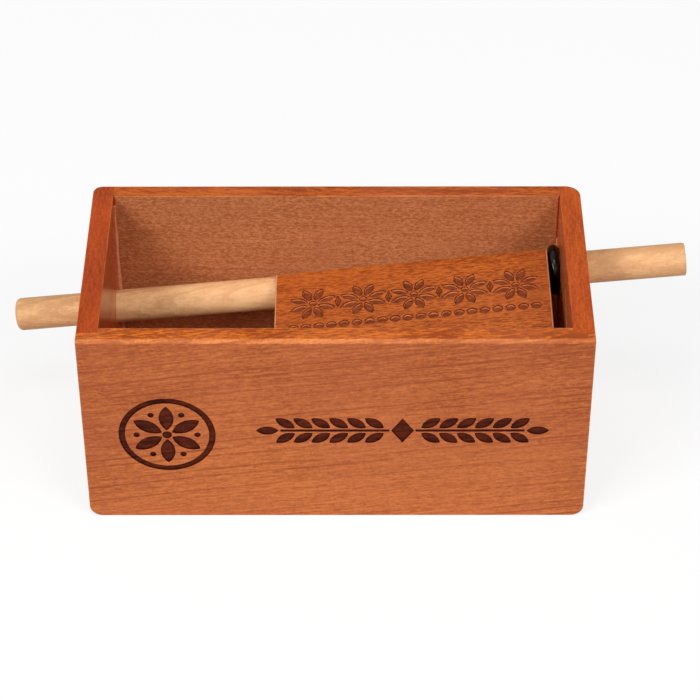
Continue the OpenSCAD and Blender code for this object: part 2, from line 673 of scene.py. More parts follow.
@dataclass(frozen=True)
class Timber:
    """A wood with its stain: colours, figure, gloss, and how the grain lies in the piece.

    Its height shade is painted shade that darkens it with each millimetre over the middle height, and its
    end shade is painted shade that darkens it towards both ends.
    """

    name: str
    light: Colour
    dark: Colour
    fleck: Colour
    blush: Colour
    # how much lighter an arris is: partly worn wood, partly a painted highlight line
    arris_wear_and_highlight_gain: Triple = (1.12, 1.18, 1.18)
    pitch: float = 2.0
    wander: float = 2.0
    grain_run: float = 0.4
    fleck_share: float = 0.2
    line_depth: float = 1.7
    streak_depth: float = 0.3
    fibre_depth: float = 0.85
    grit_depth: float = 0.6
    cloud_depth: float = 0.25
    cloud_scale: float = 1.0
    fleck_depth: float = 0.4
    base: float = 0.45
    # painted shade: darker with each millimetre of height
    painted_height_shade: float = 0.0
    # painted shade: darker towards both ends, as where less light falls and corners are shaded
    painted_end_shade: float = 0.0
    painted_end_shade_reach: float = 50.0
    blush_depth: float = 0.3
    roughness: float = 0.48
    smudge_roughness: float = 0.1
    fleck_roughness: float = 0.25
    gloss: float = 0.15
    coat: float = 0.02
    coat_roughness: float = 0.3
    relief: float = 0.05
    scratch_relief: float = -0.3
    bump_strength: float = 0.6
    middle: float = 27.0
    turn: Triple = (0.0, 0.0, 0.0)
    origin: Triple = (0.0, 0.0, 0.0)

    def worn_and_highlit(self) -> "Timber":
        """Gives the same wood worn smoother and lighter, as on an arris, its lighter colour partly worn wood
        and partly a painted highlight.

        Returns:
            The lighter finish.
        """
        # the arris colours lightened: partly wear, partly a painted highlight
        gain = (*self.arris_wear_and_highlight_gain, 1.0)
        tones = {tone: tuple(min(value * share, 1.0) for value, share in zip(getattr(self, tone), gain))
                 for tone in ("light", "dark", "fleck", "blush")}
        return replace(self, name=self.name + "_arris", cloud_scale=6.0, cloud_depth=0.7,
                       roughness=self.roughness - self.smudge_roughness / 2, **tones)

    def tone(self, skin: Skin, figure: bpy.types.bpy_prop_collection) -> Socket:
        """Adds the dark tone's share, from the painted shade gradients and the wood's figure.

        A bare noise counts twice, because it swings about half as far as a stretched one.

        Args:
            skin: the material's graph.
            figure: the figure's sockets by their names.

        Returns:
            The share, 0 to 1.
        """
        axes = skin.add("ShaderNodeSeparateXYZ", {0: skin.where}).outputs
        # painted shade, darker upwards and towards both ends
        tone = skin.math("MULTIPLY_ADD", axes["Z"], self.painted_height_shade, self.base - self.painted_height_shade * self.middle)
        reach = skin.math("MULTIPLY", axes["X"], axes["X"])
        tone = skin.math("MULTIPLY_ADD", reach, self.painted_end_shade / self.painted_end_shade_reach ** 2, tone)
        tone = skin.math("MULTIPLY_ADD", figure["Lines"], self.line_depth, tone)
        swings = (("Streaks", self.streak_depth), ("Fibres", 2 * self.fibre_depth),
                  ("Grit", 2 * self.grit_depth), ("Clouds", 2 * self.cloud_depth))
        for name, depth in swings:
            swing = skin.math("SUBTRACT", figure[name], NOISE_MIDDLE)
            tone = skin.math("MULTIPLY_ADD", swing, depth, tone)
        return skin.add("ShaderNodeClamp", {"Value": tone}).outputs[0]

    def material(self, effects: Effects) -> Material:
        """Builds the finish as a material.

        Args:
            effects: the shared node groups.

        Returns:
            The material.
        """
        skin = Skin(self.name)
        turn = tuple(math.radians(angle) for angle in self.turn)
        place = skin.add("ShaderNodeMapping", {
            "Vector": skin.where, "Rotation": turn, "Location": self.origin}).outputs[0]
        figure = skin.add("ShaderNodeGroup", {
            "Place": place, "Line Pitch": self.pitch, "Wander": self.wander,
            "Grain Run": self.grain_run, "Fleck Share": self.fleck_share,
            "Cloud Scale": self.cloud_scale}, node_tree=effects.figure).outputs
        handling = skin.add("ShaderNodeGroup", {"Place": place}, node_tree=effects.handling).outputs
        warmth = skin.math("MULTIPLY", handling["Smudge"], self.blush_depth)
        fleck = skin.math("MULTIPLY", figure["Flecks"], self.fleck_depth)
        stain = skin.mix(self.tone(skin, figure), self.light, self.dark)
        colour = skin.mix(fleck, skin.mix(warmth, stain, self.blush), self.fleck)
        smoothest = self.roughness - self.smudge_roughness / 2
        rough = skin.math("MULTIPLY_ADD", handling["Smudge"], self.smudge_roughness, smoothest)
        rough = skin.math("MULTIPLY_ADD", fleck, self.fleck_roughness, rough)
        height = skin.math("MULTIPLY_ADD", handling["Scratch"], self.scratch_relief, figure["Height"])
        skin.wire(skin.shader, {
            "Base Color": colour, "Roughness": rough, "Specular IOR Level": self.gloss,
            "Coat Weight": self.coat, "Coat Roughness": self.coat_roughness,
            "Normal": skin.bump(height, self.bump_strength, self.relief)})
        return skin.material


@dataclass(frozen=True)
class Rubber:
    """Black moulded rubber with a wet-looking skin and a little dust."""

    name: str = "black_rubber"
    colour: Colour = srgb(10, 7, 6)
    dust: Colour = srgb(48, 38, 34)
    dust_scale: Triple = (2.2, 2.2, 2.2)
    dust_span: Pair = (0.6, 0.75)
    dust_depth: float = 0.22
    roughness: float = 0.1
    smudge_roughness: float = 0.1
    gloss: float = 0.22
    grain_scale: Triple = (1.6, 1.6, 1.6)
    bump_strength: float = 0.35
    relief: float = 0.03

    def material(self, effects: Effects) -> Material:
        """Builds the rubber as a material.

        Args:
            effects: the shared node groups.

        Returns:
            The material.
        """
        skin = Skin(self.name)
        handling = skin.add("ShaderNodeGroup", {"Place": skin.where}, node_tree=effects.handling).outputs
        dust = skin.noise(skin.where, self.dust_scale, detail=3.0, roughness=0.7)
        specks = skin.span(dust, *self.dust_span)
        colour = skin.mix(skin.math("MULTIPLY", specks, self.dust_depth), self.colour, self.dust)
        rough = skin.math("MULTIPLY_ADD", handling["Smudge"], self.smudge_roughness, self.roughness)
        grain = skin.noise(skin.where, self.grain_scale, detail=4.0, roughness=0.6)
        skin.wire(skin.shader, {
            "Base Color": colour, "Roughness": rough, "Specular IOR Level": self.gloss,
            "Normal": skin.bump(grain, self.bump_strength, self.relief)})
        return skin.material


class Finishes:
    """All finishes of the call, as materials.

    The dowel's growth rings face the front and cross it at a small angle, in degrees.
    """

    RING_FACING = -50.0
    RING_TILT = 6.0
    STAIN = Timber(name="stained_board", light=srgb(214, 122, 64), dark=srgb(158, 76, 38),
                   fleck=srgb(120, 52, 26), blush=srgb(202, 112, 72))
    RED = replace(STAIN, light=srgb(204, 92, 42), dark=srgb(158, 62, 24), blush=srgb(190, 80, 42),
                  fleck_depth=0.3, fibre_depth=0.6, arris_wear_and_highlight_gain=(1.1, 1.2, 1.2))
    # The stick's end shade is painted shade: its ends are darker, so that its middle, shaded by the box
    # walls, matches them.
    DOWEL = Timber(name="dowel_wood", light=srgb(248, 208, 147), dark=srgb(217, 165, 112),
                   fleck=srgb(184, 128, 82), blush=srgb(226, 166, 122), pitch=1.5, wander=1.6,
                   grain_run=0.5, line_depth=2.2, streak_depth=0.5, fibre_depth=0.9, grit_depth=0.6,
                   cloud_depth=0.9, cloud_scale=9.0, base=0.25, painted_end_shade=0.2, fleck_depth=0.4,
                   blush_depth=0.6, roughness=0.5)

    def __init__(self, effects: Effects, slope: float) -> None:
        """Builds the materials.

        Args:
            effects: the shared node groups.
            slope: the stick's slope in degrees.
        """
        self.effects = effects
        self.rim = Timber(
            name="bare_rim", light=srgb(232, 164, 118), dark=srgb(204, 132, 92),
            fleck=srgb(180, 104, 66), blush=srgb(224, 150, 112)).material(effects)
        self.seam = Timber(
            name="open_seam", light=srgb(200, 96, 46), dark=srgb(156, 66, 28), fleck=srgb(110, 44, 18),
            blush=srgb(180, 82, 40), roughness=0.6, gloss=0.08, coat=0.0).material(effects)
        self.glue = replace(
            self.STAIN, name="dried_glue", light=srgb(236, 160, 120), dark=srgb(212, 134, 98),
            roughness=0.25, gloss=0.5, coat=0.4).material(effects)
        facing = math.radians(self.RING_FACING)
        turn = (self.RING_FACING, slope * math.cos(facing) - self.RING_TILT, slope * math.sin(facing))
        self.dowel = replace(self.DOWEL, turn=turn).material(effects)
        self.rubber = Rubber().material(effects)
        self.front_finishes()
        self.back_finishes()
        self.end_finishes()
        self.striker_finishes(slope)

    def board(self, wood: Timber, top: Timber | None = None, inside: Timber | None = None) -> list[Material]:
        """Builds a board's materials in the order of Slot.

        No material may stand in two places, because a cut would put the two together and shift the
        places after them.

        Args:
            wood: the wood of its broad faces.
            top: the wood of its upper edge, or None if that isn't painted.
            inside: the wood of its inner face, or None if that isn't painted.

        Returns:
            The materials.
        """
        # the arris finish is worn wood with a painted highlight
        broad, arris = (part.material(self.effects) for part in (wood, wood.worn_and_highlit()))
        others = [part.material(self.effects) for part in (top, inside) if part]
        return [broad, arris, self.rim, self.seam, *others]

    def front_finishes(self) -> None:
        """Builds the front board's wood and its burnt ornament."""
        # painted shade: the front darker towards the top and towards both ends
        wood = replace(self.STAIN, name="front_wood", turn=(20, 7, 0), painted_height_shade=0.006, painted_end_shade=0.12,
                       arris_wear_and_highlight_gain=(1.3, 1.52, 1.5))
        top = replace(wood, name="front_top", light=srgb(230, 119, 22), dark=srgb(148, 60, 6),
                      line_depth=2.6, streak_depth=0.7, fibre_depth=1.6, grit_depth=0.6)
        self.front = self.board(wood, top)
        burnt = replace(
            wood, name="burnt_wood", light=srgb(104, 38, 16), dark=srgb(50, 14, 6), painted_height_shade=0.0,
            fleck=srgb(44, 10, 4), blush=srgb(84, 28, 12), cloud_depth=0.9, cloud_scale=16.0,
            roughness=0.6, gloss=0.08, coat=0.0)
        self.burnt = burnt.material(self.effects)
        self.charred = replace(
            burnt, name="charred_edge", light=srgb(66, 22, 10), dark=srgb(32, 8, 4),
            fleck=srgb(24, 5, 2), blush=srgb(50, 15, 7)).material(self.effects)

    def back_finishes(self) -> None:
        """Builds the woods of the back board, the bottom board and the rail."""
        wood = replace(self.STAIN, name="back_wood", turn=(15, -2, 0), origin=(340, 60, 25),
                       arris_wear_and_highlight_gain=(1.3, 1.5, 1.6))
        top = replace(wood, name="back_top", light=srgb(200, 96, 22), dark=srgb(138, 54, 6),
                      line_depth=1.6, streak_depth=0.7, fibre_depth=1.5, grit_depth=0.8)
        # painted shade: the inner face darker towards both end walls, where the corners are shaded
        inside = replace(
            wood, name="back_inside", light=srgb(214, 140, 90), dark=srgb(168, 95, 54),
            fleck=srgb(120, 58, 30), blush=srgb(198, 120, 79), grain_run=0.9, fibre_depth=1.3,
            grit_depth=0.7, streak_depth=0.25, line_depth=0.5, fleck_share=0.5, fleck_depth=0.55,
            roughness=0.6, coat=0.0, painted_end_shade=0.16)
        self.back = self.board(wood, top, inside)
        self.bottom = self.board(replace(
            inside, name="bottom_wood", turn=(0, 1, 0), origin=(700, 20, 90),
            arris_wear_and_highlight_gain=Timber.arris_wear_and_highlight_gain))
        self.rail = self.board(Timber(
            name="rail_wood", light=srgb(188, 132, 88), dark=srgb(148, 94, 58), fleck=srgb(96, 56, 34),
            blush=srgb(176, 116, 78), origin=(50, 500, 12), roughness=0.6, coat=0.0))

    def end_finishes(self) -> None:
        """Builds the woods of the two end boards, paler inside the right one."""
        left = replace(self.RED, name="left_wood", turn=(0, 0, -90), origin=(90, 210, 40))
        right = replace(left, name="right_wood", origin=(10, 410, 70))
        top = {"fibre_depth": 0.9, "grit_depth": 0.7, "cloud_depth": 0.6, "cloud_scale": 4.0}
        inside = {"gloss": 0.8, "fibre_depth": 1.2}
        self.left = self.board(
            left,
            replace(left, name="left_top", light=srgb(186, 77, 20), dark=srgb(134, 44, 5), **top),
            replace(left, name="left_inside", light=srgb(206, 88, 30), dark=srgb(160, 58, 16),
                    roughness=0.2, **inside))
        self.right = self.board(
            right,
            replace(right, name="right_top", light=srgb(205, 95, 24), dark=srgb(146, 55, 8), **top),
            replace(right, name="right_inside", light=srgb(218, 124, 68), dark=srgb(174, 84, 41),
                    roughness=0.25, **inside))

    def striker_finishes(self, slope: float) -> None:
        """Builds the striker's wood and its carved ornament.

        Args:
            slope: the stick's slope in degrees.
        """
        wood = replace(
            self.STAIN, name="striker_wood", turn=(12, slope, 0), origin=(120, 130, 600),
            light=srgb(200, 104, 42), dark=srgb(138, 60, 20), blush=srgb(180, 86, 38), grain_run=0.6,
            fibre_depth=1.9, grit_depth=0.45, arris_wear_and_highlight_gain=(1.15, 1.3, 1.3))
        self.striker = self.board(wood)
        carved = replace(wood, roughness=0.6, coat=0.0)
        self.carved = replace(
            carved, name="carved_floor", light=srgb(144, 72, 38), dark=srgb(98, 42, 18),
            fleck=srgb(70, 26, 11), blush=srgb(130, 60, 32)).material(self.effects)
        # dark outline round each carved mark: partly burnt wood, partly painted shade along the recess edges
        self.burnt_and_shaded_outline = replace(
            carved, name="outline_burnt_and_shaded", light=srgb(116, 44, 20), dark=srgb(82, 24, 8),
            fleck=srgb(60, 16, 6), blush=srgb(104, 36, 18)).material(self.effects)
        # pale carved walls: bare cut wood, and partly a painted highlight on the rims of the marks
        self.carved_side_bare_and_highlit = replace(carved, name="carved_side_bare_and_highlit", light=srgb(240, 156, 100),
                                   dark=srgb(210, 122, 70)).material(self.effects)


@dataclass
class Marks:
    """One depth of sunk ornament, drawn flat round the origin as tools that cut down from Z 0.

    Every tool is larger all round by what it grows, and so reaches out of a deeper tool's edge. A
    lozenge grows by more in length and width, because its sides slant.
    """

    depth: float
    floor: Material
    wall: Material
    grow: float = 0.0
    sides: int = 64
    start_radius: float = 1.0
    point_grow_shares: Pair = (3.0, 4.0)

    def prism(self, sides: int, radius: float) -> Piece:
        """Makes an upright tool by its number of sides and its radius in millimetres."""
        return cylinder("mark", sides, radius, self.depth + OVER, (0, 0, (OVER - self.depth) / 2))

    def disc(self, radius: float) -> Piece:
        """Makes a round tool by its radius in millimetres."""
        return self.prism(self.sides, radius + self.grow)

    def hoop(self, radius: float, width: float) -> Piece:
        """Makes a ring by its outer radius and its width in millimetres."""
        core = settle(self.disc(radius - width - 2 * self.grow), Matrix.Diagonal((1, 1, 2, 1)))
        return work(self.disc(radius), core)

    def leaf(self, length: float, width: float) -> Piece:
        """Makes a leaf with two sharp ends, from X 0 to its length, between two arcs.

        The corners of a round start are moved onto the arcs, each by its angle.

        Args:
            length: its length in millimetres.
            width: its width in millimetres.

        Returns:
            The tool.
        """
        radius = (length ** 2 + width ** 2) / (4 * width)
        offset = radius - width / 2
        outer = radius + self.grow
        spread = math.acos(offset / outer)
        piece = self.disc(self.start_radius)
        for point in piece.data.vertices:
            turn = math.atan2(point.co.y, point.co.x)
            angle = spread * (1 - 2 * abs(turn) / math.pi)
            point.co.x = (length / 2 + outer * math.sin(angle)) * MM
            point.co.y = math.copysign(outer * math.cos(angle) - offset, turn) * MM
        return piece

    def lozenge(self, length: float, width: float) -> Piece:
        """Makes a four-sided tool with its points on the axes.

        Args:
            length: its length along X in millimetres.
            width: its width along Y in millimetres.

        Returns:
            The tool.
        """
        grown = [size + share * self.grow for size, share in zip((length, width), self.point_grow_shares)]
        return settle(self.prism(4, 1 / 2), Matrix.Diagonal((*grown, 1, 1)))

    def stroke(self, length: float, width: float) -> Piece:
        """Makes a straight groove along X, round its middle, in millimetres."""
        low = (-length / 2, -width / 2, -self.depth)
        return block("stroke", low, (length / 2, width / 2, OVER))

    def around(self, tool: Piece, count: int, start: float, first: float = 0.0) -> list[Piece]:
        """Copies a tool in a circle round the origin.

        Args:
            tool: the tool, which is used up.
            count: how many copies there are.
            start: how far from the middle each copy starts, in millimetres.
            first: the first copy's angle in degrees.

        Returns:
            The copies.
        """
        turns = (math.radians(first + 360 * index / count) for index in range(count))
        copies = [copy_of(tool, Matrix.Rotation(turn, 4, "Z") @ moved(start)) for turn in turns]
        bpy.data.objects.remove(tool)
        return copies

    def placed(self, tools: list[Piece], matrix: Matrix) -> Piece:
        """Joins tools, paints their floors and walls, and puts them on a face.

        Args:
            tools: the tools, none of which may overlap another.
            matrix: the face's own frame in metres, with Z outwards.

        Returns:
            One tool.
        """
        tool = joined(tools)
        dress(tool, self.wall, self.floor)
        for face in tool.data.polygons:
            face.material_index = int(face.normal.z < -FACING)
        return settle(tool, matrix)


class Design:
    """An ornament that is sunk into a face."""

    def tools(self, marks: Marks) -> list[Piece]:
        """Makes the ornament's tools round the origin, which each design does in its own way."""
        raise NotImplementedError

    def sink(self, piece: Piece, face: Matrix, *passes: Marks) -> None:
        """Sinks the ornament into a piece.

        Args:
            piece: the piece.
            face: its surface's own frame in metres, with Z outwards.
            passes: the depths that are cut, one after the other.
        """
        for marks in passes:
            work(piece, marks.placed(self.tools(marks), face))


@dataclass
class Medallion(Design):
    """A six-petalled rosette inside a ring."""

    radius: float = 11.2
    ring_width: float = 1.25
    petals: int = 6
    petal_length: float = 7.1
    petal_width: float = 3.2
    petal_start: float = 1.55
    petal_turn: float = 30.0
    eye_radius: float = 1.0
    bead_radius: float = 0.62
    bead_at: float = 7.1

    def tools(self, marks: Marks) -> list[Piece]:
        """Makes the tools of the medallion round the origin.

        Args:
            marks: the depth that they cut.

        Returns:
            The tools.
        """
        leaf = marks.leaf(self.petal_length, self.petal_width)
        petals = marks.around(leaf, self.petals, self.petal_start, self.petal_turn)
        beads = marks.around(marks.disc(self.bead_radius), self.petals, self.bead_at)
        return [marks.hoop(self.radius, self.ring_width), marks.disc(self.eye_radius), *petals, *beads]


@dataclass
class LeafBorder(Design):
    """Two leafy sprigs that part from a lozenge in the middle."""

    length: float = 68.0
    leaf_length: float = 5.0
    leaf_width: float = 2.3
    leaf_angle: float = 34.0
    leaf_pitch: float = 4.15
    first_leaf_share: float = 0.35
    stem_width: float = 0.7
    lozenge_length: float = 5.0
    lozenge_width: float = 7.2
    gap: float = 0.55

    def tools(self, marks: Marks) -> list[Piece]:
        """Makes the tools of the border round the origin.

        Args:
            marks: the depth that they cut.

        Returns:
            The tools.
        """
        start = self.lozenge_length / 2 + self.gap
        end = self.length / 2 - self.leaf_length - self.gap
        rise = self.stem_width / 2 + self.gap
        lozenge = marks.lozenge(self.lozenge_length, self.lozenge_width)
        stem = settle(marks.stroke(end - start, self.stem_width), moved((start + end) / 2))
        leaf = marks.leaf(self.leaf_length, self.leaf_width)
        sprig = [stem, copy_of(leaf, moved(end + self.gap))]
        for index in range(int((end - start) / self.leaf_pitch)):
            reach = start + self.leaf_pitch * (index + self.first_leaf_share)
            for side in Side:
                turn = Matrix.Rotation(math.radians(side * self.leaf_angle), 4, "Z")
                sprig.append(copy_of(leaf, moved(reach, side * rise) @ turn))
        bpy.data.objects.remove(leaf)
        other = [copy_of(tool, Matrix.Rotation(math.pi, 4, "Z")) for tool in sprig]
        return [lozenge, *sprig, *other]


@dataclass
class RosetteRow(Design):
    """A row of eight-petalled rosettes with lozenges between them, over a line of beads."""

    count: int = 5
    pitch: float = 12.2
    petals: int = 8
    petal_length: float = 4.1
    petal_width: float = 1.75
    petal_start: float = 1.55
    petal_turn: float = 22.5
    eye_radius: float = 0.8
    lozenge_length: float = 1.1
    lozenge_width: float = 3.6
    bead_radius: float = 1.05
    bead_drop: float = 8.4
    beads_each: int = 4

    def tools(self, marks: Marks) -> list[Piece]:
        """Makes the tools of the row, from its first rosette at the origin along X.

        Args:
            marks: the depth that they cut.

        Returns:
            The tools.
        """
        leaf = marks.leaf(self.petal_length, self.petal_width)
        petals = marks.around(leaf, self.petals, self.petal_start, self.petal_turn)
        rosette = joined([marks.disc(self.eye_radius), *petals])
        lozenge = marks.lozenge(self.lozenge_length, self.lozenge_width)
        bead = marks.disc(self.bead_radius)
        tools = []
        for index in range(self.count):
            reach = self.pitch * index
            tools.append(copy_of(rosette, moved(reach)))
            if index < self.count - 1:
                tools.append(copy_of(lozenge, moved(reach + self.pitch / 2)))
            for step in range(self.beads_each):
                along = reach + self.pitch * ((step + 0.5) / self.beads_each - 0.5)
                tools.append(copy_of(bead, moved(along, -self.bead_drop)))
        for used in (rosette, lozenge, bead):
            bpy.data.objects.remove(used)
        return tools


@dataclass
class Stick:
    """The round stick: worn round at its left end, chamfered at its right end."""

    length: float = 164.2
    worn_radius: float = 1.3
    worn_steps: int = 8
    chamfer: float = 0.5
    chamfer_steps: int = 2

    def __post_init__(self) -> None:
        """Reads the stick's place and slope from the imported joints."""
        joint = next(item for item in frame["joints"] if item["name"] == "striker_lift")
        self.along = -Vector(joint["axis"])
        self.place = Vector(joint["pos_m"]) / MM
        self.slope = math.degrees(math.atan2(self.along.z, self.along.x))
        back = Vector((0, 1, 0))
        turn = Matrix((self.along, back, self.along.cross(back))).transposed()
        self.frame = moved(*self.place) @ turn.to_4x4()
        low, high = node_box("push_rod")
        self.radius = (high.y - low.y) / 2
        self.right = (high.x - (self.radius - self.chamfer) * self.along.z) / self.along.x
        self.left = self.right - self.length

    def build(self, finishes: Finishes) -> Piece:
        """Builds the stick.

        Args:
            finishes: the materials.

        Returns:
            The stick.
        """
        piece = bar("push_rod_dowel", self.radius, self.left, self.right)
        ease(piece, on(x=self.left), self.worn_radius, self.worn_steps)
        ease(piece, on(x=self.right), self.chamfer, self.chamfer_steps)
        settle(piece, self.frame)
        dress(piece, finishes.dowel)
        return finished(piece, Body.STRIKER, "dowel_wood", "push_rod")


@dataclass
class Striker:
    """The block that is glued along the stick, with its cove and its carved top."""

    stick: Stick
    length: float = 66.2
    width: float = 33.8
    thickness: float = 12.5
    cover: float = 1.0
    top_rise: float = 1.1
    lap: float = 0.8
    glue_gap: float = 0.05
    arris: float = 0.2
    arris_steps: int = 4
    end_arris: float = 0.3
    end_arris_steps: int = 3
    rub_gap: float = 0.15
    travel: float = 25.0
    row_from_left: float = 9.2
    row_from_back: float = 12.4
    outline_depth: float = 0.12
    scorch_width: float = 0.2
    carve_depth: float = 0.5

    def __post_init__(self) -> None:
        """Works out the striker's corners along and square to the stick."""
        low, _ = node_box("striker")
        self.top = self.stick.radius + self.cover
        self.under = self.top - self.thickness
        along = self.stick.along
        self.left = (low.x + self.top * along.z) / along.x
        self.right = self.left + self.length
        self.rail_crown = (self.left + self.right - self.travel) / 2

    def build(self, finishes: Finishes) -> Piece:
        """Builds the striker.

        Args:
            finishes: the materials.

        Returns:
            The striker.
        """
        low = Vector((self.left, self.lap - self.width, self.under))
        high = Vector((self.right, self.lap, self.top))
        piece = block("striker_wood", low, high)
        with Bench(piece) as bench:
            bench.edges(on(x=high.x, z=high.z))
            bench.shift((0, 0, self.top_rise))
        work(piece, bar("cove", self.stick.radius + self.glue_gap, low.x - OVER, high.x + OVER))
        dress(piece, *finishes.striker)

        def upper(axis: str) -> Test:
            """Makes a test for the top's edges that run square to an axis."""
            return lambda a, b: min(a.z, b.z) > high.z - CLOSE and close(getattr(a, axis), getattr(b, axis))

        ease(piece, upper("y"), self.arris, self.arris_steps, Slot.ARRIS)
        ease(piece, upper("x"), self.end_arris, self.end_arris_steps, Slot.RIM)
        tilt = math.atan2(self.top_rise, self.length)
        corner = Vector((low.x + self.row_from_left, high.y - self.row_from_back, high.z))
        corner.z += math.tan(tilt) * self.row_from_left
        RosetteRow().sink(
            piece, moved(*corner) @ Matrix.Rotation(-tilt, 4, "Y"),
            # first pass: the dark outline, partly painted shade round each mark
            Marks(self.outline_depth, finishes.burnt_and_shaded_outline, finishes.burnt_and_shaded_outline, self.scorch_width),
            Marks(self.carve_depth, finishes.carved, finishes.carved_side_bare_and_highlit))
        settle(piece, self.stick.frame)
        return finished(piece, Body.STRIKER, "striker_wood", "striker")


@dataclass
class GlueBead:
    """Dried glue that was squeezed out of a back corner: uneven, and wider towards the floor.

    A wave is a pair of its size and its rate over the bead's height.
    """

    side: Side
    height_share: float
    size_share: float
    radius: float = 0.6
    forward: float = 0.2
    lean: float = 3.2
    lean_power: float = 1.5
    floor_swell: float = 1.25
    taper: float = 0.5
    waves: tuple[Pair, Pair] = ((0.14, 7.0), (0.1, 23.0))
    second_start: float = 2.0
    sides: int = 12
    steps: int = 40

    def swell(self, level: float) -> float:
        """Works out how much wider or narrower the bead is than its radius.

        Args:
            level: the share of the bead's height, 0 at the floor.

        Returns:
            The width there as a share of the usual one.
        """
        starts = (self.side, self.second_start)
        waves = (size * math.sin(rate * level + start) for (size, rate), start in zip(self.waves, starts))
        return self.floor_swell - self.taper * level + sum(waves)

    def build(self, corner: Vector, height: float, glue: Material) -> Piece:
        """Builds the bead.

        Args:
            corner: the box's inner corner at the floor, in millimetres.
            height: the height from there that a full bead would fill.
            glue: the material.

        Returns:
            The bead.
        """
        height *= self.height_share
        foot = corner - Vector((0, self.forward, 0))
        name = f"glue_bead_{self.side.word}"
        piece = cylinder(name, self.sides, self.radius, height, foot + Vector((0, 0, height / 2)))
        with Bench(piece) as bench:
            for step in range(1, self.steps):
                bench.bisect((0, 0, foot.z + height * step / self.steps), (0, 0, 1))
        for point in piece.data.vertices:
            level = (point.co.z / MM - foot.z) / height
            middle = Vector((foot.x * MM, foot.y * MM, point.co.z))
            point.co = middle + (point.co - middle) * self.swell(level) * self.size_share
            point.co.y -= self.lean * max(1 - level, 0) ** self.lean_power * self.size_share * MM
        dress(piece, glue)
        return finished(piece, Body.BOX, "box_wood", angle=60.0)


